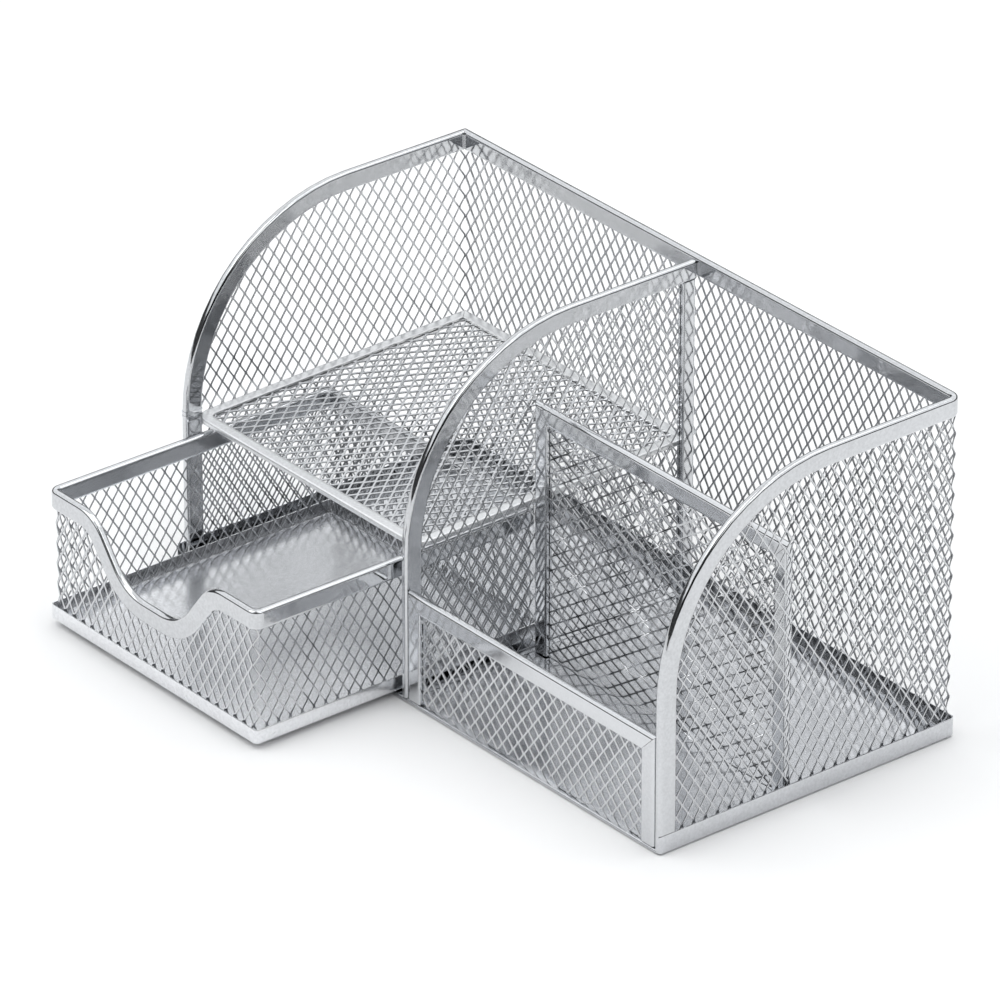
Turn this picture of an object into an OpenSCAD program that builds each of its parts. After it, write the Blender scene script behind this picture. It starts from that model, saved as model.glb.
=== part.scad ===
// Desk organizer of diamond mesh sheet, folded steel bands and pressed steel pans.
// The left bay holds a shelf above a sliding drawer. The right bay is split by an
// inner divider and closed in front by a low lip.
// X runs from left to right, Y from front to back and Z up. The origin is the
// middle of the base pan's underside, on the desk.

/* [Body] */
// Width over the two side walls
body_w = 220.8; // [200:0.2:260]
// Depth from the front edge to the back wall
body_d = 108.8; // [106:0.2:140]
// Height at the back wall
body_h = 108; // [100:1:130]
// Radius of the swept front edge of the side walls and of the middle divider
sweep_r = 60; // [45:1:60]
// Radius of the upright corners of the back
corner_r = 4; // [3:0.5:8]
// How far the front edge of the left wall stands back
left_setback = 3; // [0:0.5:5]

/* [Bands and mesh] */
// Width of the folded bands
band_w = 5.8; // [4:0.2:7]
// Thickness over a folded band
band_t = 2.5; // [2:0.1:3.5]
// Thickness of the steel that the bands and pans are made of
sheet_t = 0.5; // [0.4:0.05:0.6]
// Solid thickness that weighs the same as the open mesh sheet
mesh_t = 0.4; // [0.3:0.05:0.6]

/* [Base pan] */
// Height of the upturned edge
pan_edge_h = 6; // [4:0.5:8]
// Radius of its two rear corners
pan_corner_r = 2; // [1.5:0.5:3]
// Height of the folded front edge
pan_hem_h = 1.2; // [1:0.1:1.3]

/* [Middle divider] */
// Distance of its left face from the left side
divider_x = 106; // [105:0.1:112]
// How far its top stays below the top of the back wall
divider_drop = 1; // [0:0.5:3]

/* [Right bay] */
// Height of the front lip
lip_h = 36; // [20:1:45]
// Distance of the inner divider from the front
inner_y = 46.8; // [30:0.2:70]
// Height of the inner divider
inner_h = 80.8; // [60:0.2:90]

/* [Shelf] */
// Height of its upper face at the back
shelf_z = 49.5; // [48:0.5:60]
// How far its front edge is below its back edge
shelf_drop = 2; // [0:0.5:2]
// Thickness of the shelf frame
shelf_t = 1.8; // [1.6:0.1:3]
// Distance of its front edge from the front of the organizer
shelf_front = 6; // [6:0.5:12]
// Width of the shelf frame
shelf_frame_w = 3.6; // [3:0.2:5]
// Radius of its two front corners
shelf_corner_r = 5.5; // [5.5:0.5:12]

/* [Drawer] */
// Distance of the drawer from the left side of the organizer
drawer_x = 6.6; // [4:0.2:7]
// Width
drawer_w = 97.4; // [85:0.2:97.4]
// Depth
drawer_d = 103; // [80:1:103]
// Height of its rim above the desk
drawer_top = 44; // [36:0.5:44]
// Radius of its upright corners
drawer_corner_r = 3.5; // [3:0.5:6]
// Radius of its pan's corners
drawer_pan_corner_r = 2; // [1.5:0.5:3]
// How far the drawer is pulled out from its closed place
drawer_pull = 51.5; // [0:0.5:80]
// Depth of the finger notch
notch_depth = 19; // [12:0.5:22]
// Half of the level stretch at the bottom of the notch
notch_flat = 4.5; // [2:0.5:8]

/* [Hidden] */
$fn = 64;

gap = 0.1;                            // play between pieces that meet
web_t = 0.7;                          // steel at the fold of a band
mesh_slack = 0.3;                     // play of a mesh edge inside a band's fold
mesh_in = web_t + mesh_slack;         // mesh edge, measured in from a band's outer edge
mesh_mid = band_t / 2;                // middle of a mesh sheet inside its band
floor_top = sheet_t;                  // upper face of the base pan's floor
hem_d = 4;                            // depth of the folded front edge
mesh_z = floor_top + gap;             // lower edge of the mesh sheets
mesh_play = 0.6;                      // from a mesh's middle to a panel that meets it
divider_right = divider_x + band_t;
inner_back = body_d - band_t - gap;   // where walls that meet the back rim end
rear_band_w = 4.8;                    // upright band at the back of the divider
drawer_lift = 0.4;                    // play between the base pan's front edge and the drawer
drawer_floor = pan_hem_h + drawer_lift; // underside of the drawer
drawer_edge_h = 4.9;                  // height of the drawer pan's upturned edge
drawer_mesh_z = drawer_floor + sheet_t + gap;
drawer_closed_y = 1;                  // front of the closed drawer
shoulder_r = 13;                      // upper bends of the finger notch
dip_r = 16;                           // lower bends of the finger notch
notch_slope = 52;                     // steepest angle of the notch, in degrees
arc_steps = 10;                       // points along each bend of the notch
edge_over = 1;                        // how far cutting shapes run past an edge

// ---- outlines ----

// A side wall seen from the right: upright front, quarter-round sweep and level top,
// with every edge but the lowest and the rear one moved in by inset
module side_outline(inset, front, bottom, back, top) {
    centre_y = front + sweep_r;
    centre_z = top - sweep_r;
    translate([centre_y, centre_z]) circle(r = sweep_r - inset, $fn = 128);
    translate([front + inset, bottom]) square([sweep_r - inset, centre_z - bottom]);
    translate([centre_y, bottom]) square([back - centre_y, top - inset - bottom]);
}

// The lower part of the sweep circle is inside the wall, so it is only trimmed
// to the wall's own bottom edge
module side_wall_shape(inset, front, bottom, back, top) {
    intersection() {
        side_outline(inset, front, bottom, back, top);
        translate([front, bottom]) square([back - front, top - bottom]);
    }
}

// Rectangle with the two rear corners rounded, for the base pan's plan
module pan_plan(inset) {
    r = pan_corner_r - inset;
    translate([inset, 0]) square([body_w - 2 * inset, body_d - pan_corner_r]);
    translate([pan_corner_r, 0]) square([body_w - 2 * pan_corner_r, body_d - inset]);
    for (x = [pan_corner_r, body_w - pan_corner_r])
        translate([x, body_d - pan_corner_r]) circle(r = r);
}

// Rectangle with four rounded corners, for the drawer pan's plan
module drawer_plan(inset) {
    corner = drawer_pan_corner_r;
    translate([inset, corner]) square([drawer_w - 2 * inset, drawer_d - 2 * corner]);
    translate([corner, inset]) square([drawer_w - 2 * corner, drawer_d - 2 * inset]);
    for (x = [corner, drawer_w - corner])
        for (y = [corner, drawer_d - corner])
            translate([x, y]) circle(r = corner - inset);
}

front_flat_w = drawer_w - 2 * drawer_corner_r;  // front between its rounded corners
side_len = drawer_d - 2 * drawer_corner_r;      // sides between the rounded corners

// Straight length of the notch's slope between its two bends
notch_straight = (notch_depth - (shoulder_r + dip_r) * (1 - cos(notch_slope))) / sin(notch_slope);
notch_half_w = notch_flat + (shoulder_r + dip_r) * sin(notch_slope)
    + notch_straight * cos(notch_slope);

// Right half of the finger notch, from its bottom to its shoulder, as [x, z] points
// measured from the middle of the drawer's top edge; the solid side shrinks by inset
function notch_half(inset) = [
    for (i = [0 : arc_steps])
        let (a = notch_slope * i / arc_steps)
        [notch_flat + (dip_r + inset) * sin(a),
         dip_r - notch_depth - (dip_r + inset) * cos(a)],
    for (i = [0 : arc_steps])
        let (a = notch_slope * (1 - i / arc_steps))
        [notch_half_w - (shoulder_r - inset) * sin(a),
         (shoulder_r - inset) * cos(a) - shoulder_r]
];

// The whole notch as a closed outline that runs past the top edge
function notch_outline(inset) =
    let (half = notch_half(inset), last = len(half) - 1)
    concat(
        [for (i = [0 : last]) [-half[last - i][0], half[last - i][1]]],
        half,
        [[notch_half_w, shoulder_r], [-notch_half_w, shoulder_r]]
    );

// Drawer front between its two rounded corners, with the notch cut out and its top
// edge moved down by inset; side_over lets a cutting shape run past its two sides
module drawer_front_shape(inset, bottom, side_over = 0) {
    difference() {
        translate([-side_over, bottom])
            square([front_flat_w + 2 * side_over, drawer_top - inset - bottom]);
        translate([front_flat_w / 2, drawer_top]) polygon(notch_outline(inset));
    }
}

// ---- placing ----

module in_body_frame() {
    translate([-body_w / 2, -body_d / 2, 0]) children();
}

module in_drawer_frame() {
    in_body_frame()
        translate([drawer_x, drawer_closed_y - drawer_pull, 0]) children();
}

// Stands a side view drawn as [y, z] up at x, with thickness t to its right
module stand_side(x, t) {
    translate([x, 0, 0]) rotate([90, 0, 90]) linear_extrude(t) children();
}

// Stands a front view drawn as [x, z] up at y, with thickness t behind it
module stand_front(y, t) {
    translate([0, y + t, 0]) rotate([90, 0, 0]) linear_extrude(t) children();
}

// ---- parts shared by several pieces ----

// Folded band along the front, sweep and top of a wall
module swept_band(x, front, bottom, back, top) {
    difference() {
        stand_side(x, band_t) difference() {
            side_wall_shape(0, front, bottom, back, top);
            side_outline(band_w, front, bottom - edge_over, back + edge_over, top);
        }
        stand_side(x + sheet_t, band_t - 2 * sheet_t)
            side_outline(web_t, front, bottom - edge_over, back + edge_over, top);
    }
}

// Mesh sheet that fills a wall with a swept front
module swept_mesh(x, front, bottom, back, top) {
    stand_side(x + mesh_mid - mesh_t / 2, mesh_t)
        side_wall_shape(mesh_in, front, bottom, back, top);
}

// One band of an upright panel's mitred frame: side is "top", "left" or "right"
module panel_band(side, x, y, w, bottom, top) {
    h = top - bottom;
    outline =
        side == "top" ? [[0, h], [w, h], [w - band_w, h - band_w], [band_w, h - band_w]]
        : side == "left" ? [[0, 0], [band_w, 0], [band_w, h - band_w], [0, h]]
        : [[w, 0], [w, h], [w - band_w, h - band_w], [w - band_w, 0]];
    translate([x, 0, bottom]) difference() {
        stand_front(y, band_t) polygon(outline);
        stand_front(y + sheet_t, band_t - 2 * sheet_t)
            translate([web_t, -edge_over])
                square([w - 2 * web_t, h - web_t + edge_over]);
    }
}

// Mesh sheet of an upright panel
module panel_mesh(x, y, w, bottom, top) {
    translate([x, 0, bottom])
        stand_front(y + mesh_mid - mesh_t / 2, mesh_t)
            translate([mesh_in, 0]) square([w - 2 * mesh_in, top - bottom - mesh_in]);
}

// Cross-section of a folded band that stands upright, with its fold at the top
module band_section() {
    difference() {
        translate([0, -band_w]) square([band_t, band_w]);
        translate([sheet_t, -band_w - edge_over])
            square([band_t - 2 * sheet_t, band_w - web_t + edge_over]);
    }
}

// Straight band along X, band_t thick towards the back
module straight_band_x(length) {
    rotate([90, 0, 90]) linear_extrude(length) band_section();
}

// Quarter bend of a band around an upright corner, from +X towards +Y
module band_bend(r) {
    rotate_extrude(angle = 90) translate([r - band_t, 0]) band_section();
}

// Quarter bend of a mesh sheet around an upright corner, from +X towards +Y
module mesh_bend(r, h) {
    rotate_extrude(angle = 90)
        translate([r - mesh_mid - mesh_t / 2, 0]) square([mesh_t, h]);
}

// ---- organizer ----

module base_pan() {
    color("silver") in_body_frame() {
        linear_extrude(sheet_t) pan_plan(0);
        linear_extrude(pan_edge_h) difference() {
            pan_plan(0);
            pan_plan(sheet_t);
            translate([sheet_t, -edge_over]) square([body_w - 2 * sheet_t, body_d / 2]);
        }
        cube([body_w, hem_d, pan_hem_h]);
    }
}

module left_wall_mesh() {
    color("gainsboro") in_body_frame()
        swept_mesh(0, left_setback, pan_hem_h + gap, inner_back, body_h);
}

module back_wall_mesh() {
    color("gainsboro") in_body_frame() {
        mesh_h = body_h - mesh_in - mesh_z;
        translate([mesh_mid, body_d - mesh_mid - mesh_t / 2, mesh_z])
            cube([body_w - corner_r - mesh_mid, mesh_t, mesh_h]);
        translate([body_w - corner_r, body_d - corner_r, mesh_z])
            mesh_bend(corner_r, mesh_h);
    }
}

module right_wall_mesh() {
    color("gainsboro") in_body_frame()
        swept_mesh(body_w - band_t, 0, pan_hem_h + gap, body_d - corner_r - gap, body_h);
}

module left_rim_band() {
    color("silver") in_body_frame()
        swept_band(0, left_setback, pan_edge_h + gap, inner_back, body_h);
}

module back_rim_band() {
    color("silver") in_body_frame() {
        translate([0, body_d - band_t, body_h]) straight_band_x(body_w - corner_r);
        translate([body_w - corner_r, body_d - corner_r, body_h]) band_bend(corner_r);
    }
}

module right_rim_band() {
    color("silver") in_body_frame()
        swept_band(body_w - band_t, 0, pan_edge_h + gap, body_d - corner_r - gap, body_h);
}

divider_top = body_h - divider_drop;

module middle_divider_mesh() {
    color("gainsboro") in_body_frame()
        swept_mesh(divider_x, 0, pan_hem_h + gap, inner_back - mesh_in, divider_top);
}

module middle_divider_rim_band() {
    color("silver") in_body_frame()
        swept_band(divider_x, 0, pan_hem_h + gap, inner_back, divider_top);
}

module middle_divider_rear_band() {
    color("silver") in_body_frame() difference() {
        translate([divider_x, inner_back - rear_band_w, mesh_z])
            cube([band_t, rear_band_w, divider_top - band_w - gap - mesh_z]);
        translate([divider_x + sheet_t, inner_back - rear_band_w - web_t, mesh_z - edge_over])
            cube([band_t - 2 * sheet_t, rear_band_w, divider_top]);
    }
}

// ---- shelf ----

shelf_left = mesh_mid + mesh_play;
shelf_w = divider_x - gap - shelf_left;
shelf_d = body_d - mesh_mid - mesh_play - shelf_front;
shelf_lean = asin(shelf_drop / shelf_d);
shelf_slot_h = shelf_t - 2 * sheet_t;  // opening between the two sides of the folded frame

// The shelf's own frame: its upper face is at Z = 0 and leans down towards the front
module in_shelf_frame() {
    in_body_frame()
        translate([shelf_left, shelf_front + shelf_d, shelf_z])
            rotate([shelf_lean, 0, 0])
                translate([0, -shelf_d, 0]) children();
}

// Shelf seen from above, with every edge moved in by inset
module shelf_plan(inset) {
    r = shelf_corner_r - inset;
    translate([inset, shelf_corner_r])
        square([shelf_w - 2 * inset, shelf_d - shelf_corner_r - inset]);
    translate([shelf_corner_r, inset])
        square([shelf_w - 2 * shelf_corner_r, shelf_corner_r]);
    for (x = [shelf_corner_r, shelf_w - shelf_corner_r])
        translate([x, shelf_corner_r]) circle(r = r);
}

// Mitred strip along the rear edge of the shelf
module shelf_back_outline() {
    polygon([
        [0, shelf_d], [shelf_w, shelf_d],
        [shelf_w - shelf_frame_w, shelf_d - shelf_frame_w],
        [shelf_frame_w, shelf_d - shelf_frame_w]
    ]);
}

// Shelf edge pieces are folded over the mesh, so they have a slot for it
module slotted_shelf_edge() {
    in_shelf_frame() difference() {
        translate([0, 0, -shelf_t]) linear_extrude(shelf_t) children();
        translate([0, 0, -sheet_t - shelf_slot_h])
            linear_extrude(shelf_slot_h) shelf_plan(web_t);
    }
}

module shelf_mesh() {
    color("gainsboro") in_shelf_frame()
        translate([0, 0, -(shelf_t + mesh_t) / 2]) linear_extrude(mesh_t) shelf_plan(mesh_in);
}

module shelf_frame() {
    color("silver") slotted_shelf_edge() difference() {
        shelf_plan(0);
        shelf_plan(shelf_frame_w);
        shelf_back_outline();
    }
}

module shelf_back_strip() {
    color("silver") slotted_shelf_edge() shelf_back_outline();
}

// ---- right bay ----

lip_x = divider_right + gap;
lip_w = body_w - band_t - gap - lip_x;
lip_z = pan_hem_h + gap;
inner_x = divider_x + mesh_mid + mesh_play;
inner_w = body_w - mesh_mid - mesh_play - inner_x;

module inner_divider_mesh() {
    color("gainsboro") in_body_frame()
        panel_mesh(inner_x, inner_y, inner_w, mesh_z, inner_h);
}

module inner_divider_band(side) {
    color("silver") in_body_frame()
        panel_band(side, inner_x, inner_y, inner_w, mesh_z, inner_h);
}

module front_lip_mesh() {
    color("gainsboro") in_body_frame() panel_mesh(lip_x, 0, lip_w, lip_z, lip_h);
}

module front_lip_band(side) {
    color("silver") in_body_frame() panel_band(side, lip_x, 0, lip_w, lip_z, lip_h);
}

// ---- drawer ----

module drawer_pan() {
    color("silver") in_drawer_frame() translate([0, 0, drawer_floor]) {
        linear_extrude(sheet_t) drawer_plan(0);
        linear_extrude(drawer_edge_h) difference() {
            drawer_plan(0);
            drawer_plan(sheet_t);
        }
    }
}

module drawer_front_mesh() {
    h = drawer_top - mesh_in - drawer_mesh_z;
    color("gainsboro") in_drawer_frame() {
        translate([drawer_corner_r, 0, 0])
            stand_front(mesh_mid - mesh_t / 2, mesh_t)
                drawer_front_shape(mesh_in, drawer_mesh_z);
        translate([drawer_w - drawer_corner_r, drawer_corner_r, drawer_mesh_z])
            rotate([0, 0, -90]) mesh_bend(drawer_corner_r, h);
        translate([drawer_corner_r, drawer_corner_r, drawer_mesh_z])
            rotate([0, 0, 180]) mesh_bend(drawer_corner_r, h);
    }
}

module drawer_back_mesh() {
    h = drawer_top - mesh_in - drawer_mesh_z;
    color("gainsboro") in_drawer_frame() {
        translate([drawer_corner_r, drawer_d - mesh_mid - mesh_t / 2, drawer_mesh_z])
            cube([front_flat_w, mesh_t, h]);
        translate([drawer_w - drawer_corner_r, drawer_d - drawer_corner_r, drawer_mesh_z])
            mesh_bend(drawer_corner_r, h);
        translate([drawer_corner_r, drawer_d - drawer_corner_r, drawer_mesh_z])
            rotate([0, 0, 90]) mesh_bend(drawer_corner_r, h);
    }
}

module drawer_side_mesh(x) {
    color("gainsboro") in_drawer_frame()
        translate([x - mesh_t / 2, drawer_corner_r, drawer_mesh_z])
            cube([mesh_t, side_len, drawer_top - mesh_in - drawer_mesh_z]);
}

module drawer_front_rim_band() {
    color("silver") in_drawer_frame() {
        translate([drawer_corner_r, 0, 0]) difference() {
            stand_front(0, band_t) difference() {
                drawer_front_shape(0, drawer_mesh_z);
                drawer_front_shape(band_w, 0, edge_over);
            }
            stand_front(sheet_t, band_t - 2 * sheet_t)
                drawer_front_shape(web_t, 0, edge_over);
        }
        translate([drawer_w - drawer_corner_r, drawer_corner_r, drawer_top])
            rotate([0, 0, -90]) band_bend(drawer_corner_r);
        translate([drawer_corner_r, drawer_corner_r, drawer_top])
            rotate([0, 0, 180]) band_bend(drawer_corner_r);
    }
}

module drawer_back_rim_band() {
    color("silver") in_drawer_frame() {
        translate([drawer_corner_r, drawer_d - band_t, drawer_top])
            straight_band_x(front_flat_w);
        translate([drawer_w - drawer_corner_r, drawer_d - drawer_corner_r, drawer_top])
            band_bend(drawer_corner_r);
        translate([drawer_corner_r, drawer_d - drawer_corner_r, drawer_top])
            rotate([0, 0, 90]) band_bend(drawer_corner_r);
    }
}

module drawer_side_rim_band(x) {
    color("silver") in_drawer_frame()
        translate([x, drawer_corner_r, drawer_top])
            rotate([0, 0, 90]) translate([0, -band_t, 0]) straight_band_x(side_len);
}

base_pan();
left_wall_mesh();
back_wall_mesh();
right_wall_mesh();
left_rim_band();
back_rim_band();
right_rim_band();
middle_divider_mesh();
middle_divider_rim_band();
middle_divider_rear_band();
shelf_mesh();
shelf_frame();
shelf_back_strip();
inner_divider_mesh();
inner_divider_band("top");  // inner_divider_top_band
inner_divider_band("left");  // inner_divider_left_band
inner_divider_band("right");  // inner_divider_right_band
front_lip_mesh();
front_lip_band("top");  // front_lip_top_band
front_lip_band("left");  // front_lip_left_band
front_lip_band("right");  // front_lip_right_band
drawer_pan();
drawer_front_mesh();
drawer_side_mesh(mesh_mid);  // drawer_left_mesh
drawer_side_mesh(drawer_w - mesh_mid);  // drawer_right_mesh
drawer_back_mesh();
drawer_front_rim_band();
drawer_side_rim_band(0);  // drawer_left_rim_band
drawer_side_rim_band(drawer_w - band_t);  // drawer_right_rim_band
drawer_back_rim_band();
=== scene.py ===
"""Looks of the mesh desk organizer: expanded metal, folded bands and pressed pans.

Every piece stands where its CAD node stands. Shapes are worked out in millimetres, with
X to the right, Y to the back and Z up.
"""

import math

import bmesh
import bpy
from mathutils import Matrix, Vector


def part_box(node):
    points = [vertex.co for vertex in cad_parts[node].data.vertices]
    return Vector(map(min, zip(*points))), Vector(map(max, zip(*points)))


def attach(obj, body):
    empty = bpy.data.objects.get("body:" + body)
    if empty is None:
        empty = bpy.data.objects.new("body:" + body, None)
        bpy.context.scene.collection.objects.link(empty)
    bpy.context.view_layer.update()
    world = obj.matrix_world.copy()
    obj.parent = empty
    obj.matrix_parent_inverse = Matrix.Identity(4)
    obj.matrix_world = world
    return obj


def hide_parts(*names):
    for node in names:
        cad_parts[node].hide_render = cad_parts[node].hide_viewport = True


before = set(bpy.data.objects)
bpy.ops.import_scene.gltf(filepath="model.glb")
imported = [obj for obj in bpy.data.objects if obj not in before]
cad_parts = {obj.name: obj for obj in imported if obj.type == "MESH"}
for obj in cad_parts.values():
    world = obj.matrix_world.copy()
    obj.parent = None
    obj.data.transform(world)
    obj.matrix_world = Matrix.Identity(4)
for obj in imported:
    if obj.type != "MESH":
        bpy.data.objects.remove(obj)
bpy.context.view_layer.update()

MM = 0.001

# ---- the organizer's own sizes, in millimetres ----
SWEEP_R = 60.0  # quarter-round sweep of the walls
CORNER_R = 4.0  # upright rear corners of the walls
MESH_CORNER_R = 1.0  # bend of the mesh sheet in those corners
PAN_CORNER_R = 2.0  # rear corners of the base pan
BAND_W = 5.8  # width of a folded band
SHEET_T = 0.5  # steel of the bands and pans
SHELF_EDGE_W = 3.6  # width of the shelf's folded edge
SHELF_CORNER_R = 5.5  # its two front corners
SHELF_T = 1.8  # its thickness
SHELF_DROP = 2.0  # how far the shelf leans down to the front
DRAWER_CORNER_R = 3.5  # upright corners of the drawer
DRAWER_PAN_CORNER_R = 2.0  # corners of the drawer's pan
NOTCH_DEPTH = 19.0  # finger notch
NOTCH_FLAT = 4.5  # half of the level stretch at its bottom
NOTCH_SLOPE = 52.0  # its steepest angle, in degrees
SHOULDER_R = 13.0  # its upper bends
DIP_R = 16.0  # its lower bends
PAN_BEND = 0.9  # outer radius of the bend under a pan's edge
PAN_REACH = 1.1  # how far a pan's edge section reaches in along its floor
PAN_FRONT_R = 1.2  # front corners of the base pan
PAN_END_ROUND = 1.6  # rounded ends of its upturned edge
HEM_D = 4.0  # depth of the base pan's folded front edge
HEM_H = 1.2  # its height
HEM_SHEET_T = 0.45  # steel of that fold
MESH_IN = 1.4  # how far inside its band's outer edge a mesh sheet ends
SEAM = 0.08  # half of the open line between two mitred bands
PANEL_GAP = 0.3  # open line between a panel's frame and the walls beside it
NIPPED = 0.6  # width over which a band's free edges are nipped in
HEM_LIP = 0.2  # where a band's hemmed free edges end, from the middle of the mesh
LEVEL = 0.15  # narrow strips beside the bends, which keep a band's faces looking flat
FOLD_EXTRA = 0.2  # extra steel at a fold
FOLD_CHAMFER = 0.25  # inside corners of a fold

# ---- expanded metal ----
STRAND_W = 0.43  # width of a strand
STRAND_T = 0.3  # thickness of a strand
BOND = 0.3  # half length of the flat where two strands are one
TILT = 0.14  # how far a strand leans out of the sheet
WALL_TILT = -0.05  # the same for the outer walls, to the other side
NODE_OVER_EDGE = 0.1  # height of a row of nodes over the pan's edge
SLIVER = 0.002  # faces of less than this area are left out
CUT_THIN_PAINT_AND_SHADE = 1  # second material of a sheet, for its cut edges: darker, partly for their thin lacquer and partly as painted shade inside the holes

# Short and long diagonal of the diamonds, one pair for each sheet
WALL_WEAVE = ((4.3, 0.0), (0.0, 6.42))
DIVIDER_WEAVE = ((4.23, 0.0), (0.0, 6.5))
DRAWER_WEAVE = ((4.2, 0.0), (0.0, 6.5))
SHELF_WEAVE = ((4.11, 0.0), (-0.54, 5.87))
INNER_WEAVE = ((-0.65, 4.02), (6.87, 0.165))
LIP_WEAVE = ((4.8, 0.4), (-0.4, 5.3))

BEND_STEP = math.radians(6)  # turn between two sections of a bend


# ---- flat routes ----


class Route:
    """A flat line of straights and round bends, followed by its length."""

    def __init__(self, u, v, heading):
        self.legs = []
        self.tip = (u, v, math.radians(heading))
        self.length = 0.0

    def straight(self, length):
        return self._add(length, 0.0)

    def bend(self, radius, degrees):
        """Turns left by degrees, or right where they are negative."""
        turn = math.radians(degrees)
        return self._add(radius * abs(turn), math.copysign(1 / radius, turn))

    def _add(self, length, curve):
        self.legs.append((self.length, length, curve, self.tip))
        self.length += length
        self.tip = walk(self.tip, length, curve)
        return self

    def at(self, s):
        """Flat point and heading at length s."""
        leg = self.legs[0]
        for candidate in self.legs:
            if candidate[0] <= s:
                leg = candidate
        return walk(leg[3], s - leg[0], leg[2])

    def stations(self):
        """Lengths at which a band's cross-section is repeated."""
        found = [0.0]
        for start, length, curve, _ in self.legs:
            steps = max(1, math.ceil(abs(length * curve) / BEND_STEP))
            found += [start + length * (i + 1) / steps for i in range(steps)]
        return found


def walk(tip, length, curve):
    """Where a walker gets to from tip along a line of even curve."""
    u, v, heading = tip
    if curve == 0:
        return (u + length * math.cos(heading), v + length * math.sin(heading), heading)
    end = heading + length * curve
    return (
        u + (math.sin(end) - math.sin(heading)) / curve,
        v - (math.cos(end) - math.cos(heading)) / curve,
        end,
    )


class Plane:
    """A flat place in space for flat points (u, v), with an outer side."""

    def __init__(self, origin, right, up, out):
        self.origin, self.right, self.up, self.out = map(Vector, (origin, right, up, out))

    def point(self, u, v, w=0.0):
        return self.origin + self.right * u + self.up * v + self.out * w

    def direction(self, u, v):
        return self.right * u + self.up * v


def side_plane(x, out=1):
    return Plane((x, 0, 0), (0, 1, 0), (0, 0, 1), (out, 0, 0))


def front_plane(y):
    return Plane((0, y, 0), (1, 0, 0), (0, 0, 1), (0, -1, 0))


def level_plane(z):
    return Plane((0, 0, z), (1, 0, 0), (0, 1, 0), (0, 0, 1))


def edge_frames(route, plane, inner):
    """Cross-section frames of a band that lies in the plane: (point, along, depth, side).
    inner is 1 where the band reaches to the left of the route and -1 to the right."""
    frames = []
    for s in route.stations():
        u, v, heading = route.at(s)
        along = plane.direction(math.cos(heading), math.sin(heading))
        left = plane.direction(-math.sin(heading), math.cos(heading))
        frames.append((plane.point(u, v), along, left * inner, plane.out))
    return frames


def hanging_frames(route, z, outer):
    """Frames of a band that hangs down from a level route at height z. outer is 1 where
    its outer face is to the left of the route and -1 to the right."""
    plane = level_plane(z)
    frames = []
    for s in route.stations():
        u, v, heading = route.at(s)
        along = plane.direction(math.cos(heading), math.sin(heading))
        left = plane.direction(-math.sin(heading), math.cos(heading))
        frames.append((plane.point(u, v), along, Vector((0, 0, -1)), left * outer))
    return frames


# ---- building meshes ----


class Build:
    """Collects points, welded where they meet, and faces."""

    def __init__(self):
        self.index = {}
        self.points = []
        self.faces = []
        self.finishes = []

    def point(self, place):
        key = tuple(round(c, 4) for c in place)
        if key not in self.index:
            self.index[key] = len(self.points)
            self.points.append(tuple(c * MM for c in place))
        return self.index[key]

    def face(self, places, finish=0):
        corners = []
        for place in places:
            i = self.point(place)
            if i not in corners:
                corners.append(i)
        if len(corners) > 2:
            self.faces.append(corners)
            self.finishes.append(finish)

    def tube(self, rings, closed_section=True, loop=False):
        """Skin over a row of cross-sections."""
        rows = list(zip(rings, rings[1:] + rings[:1])) if loop else list(zip(rings, rings[1:]))
        for a, b in rows:
            last = len(a) if closed_section else len(a) - 1
            for k in range(last):
                m = (k + 1) % len(a)
                self.face((a[k], a[m], b[m], b[k]))

    def piece(self, name, node, body, slot, smooth_angle=35, finish=None):
        """Makes the object that stands for a CAD node."""
        mesh = bpy.data.meshes.new(name)
        mesh.from_pydata(self.points, [], self.faces)
        mesh.polygons.foreach_set("material_index", self.finishes)
        work = bmesh.new()
        work.from_mesh(mesh)
        bmesh.ops.recalc_face_normals(work, faces=work.faces)
        work.to_mesh(mesh)
        work.free()
        mesh.shade_smooth()
        mesh.set_sharp_from_angle(angle=math.radians(smooth_angle))
        piece = bpy.data.objects.new(name, mesh)
        bpy.context.scene.collection.objects.link(piece)
        piece.data.materials.append(FINISH[finish or slot])
        # the second, darker finish of a sheet's cut edges is partly painted shade inside the
        # holes
        if max(self.finishes) > 0:
            piece.data.materials.append(FINISH["cut"])
        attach(piece, body)
        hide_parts(node)
        return piece


def span(node):
    """Lowest and highest corner of a CAD node, in millimetres."""
    low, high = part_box(node)
    return low / MM, high / MM


def arc(centre, radius, start, end, steps=4):
    """Points round part of a circle, angles in degrees."""
    found = []
    for i in range(steps + 1):
        angle = math.radians(start + (end - start) * i / steps)
        found.append((centre[0] + radius * math.cos(angle), centre[1] + radius * math.sin(angle)))
    return found


# ---- folded bands ----


def folded_section(width, thick, sheet=SHEET_T, bend=0.95, nip=0.3):
    """Outline of a strip folded in two over a mesh, as (depth, side) points. The fold is
    at depth 0 and the free edges are nipped in and hemmed against the mesh."""
    half = thick / 2
    inside = half - sheet
    start = bend + LEVEL
    end = width - NIPPED
    fold = sheet + FOLD_EXTRA
    outer = [(width, half - nip), (end, half), (end - LEVEL, half), (start, half)]
    outer += arc((bend, half - bend), bend, 90, 180, 6)
    outer += arc((bend, bend - half), bend, 180, 270, 6)
    outer += [(start, -half), (end - LEVEL, -half), (end, -half), (width, nip - half)]
    inner = [(width, -HEM_LIP), (end, -HEM_LIP), (end, -inside), (bend, -inside)]
    inner += [(fold, FOLD_CHAMFER - inside), (fold, inside - FOLD_CHAMFER)]
    inner += [(bend, inside), (end, inside), (end, HEM_LIP), (width, HEM_LIP)]
    return outer + inner


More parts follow.
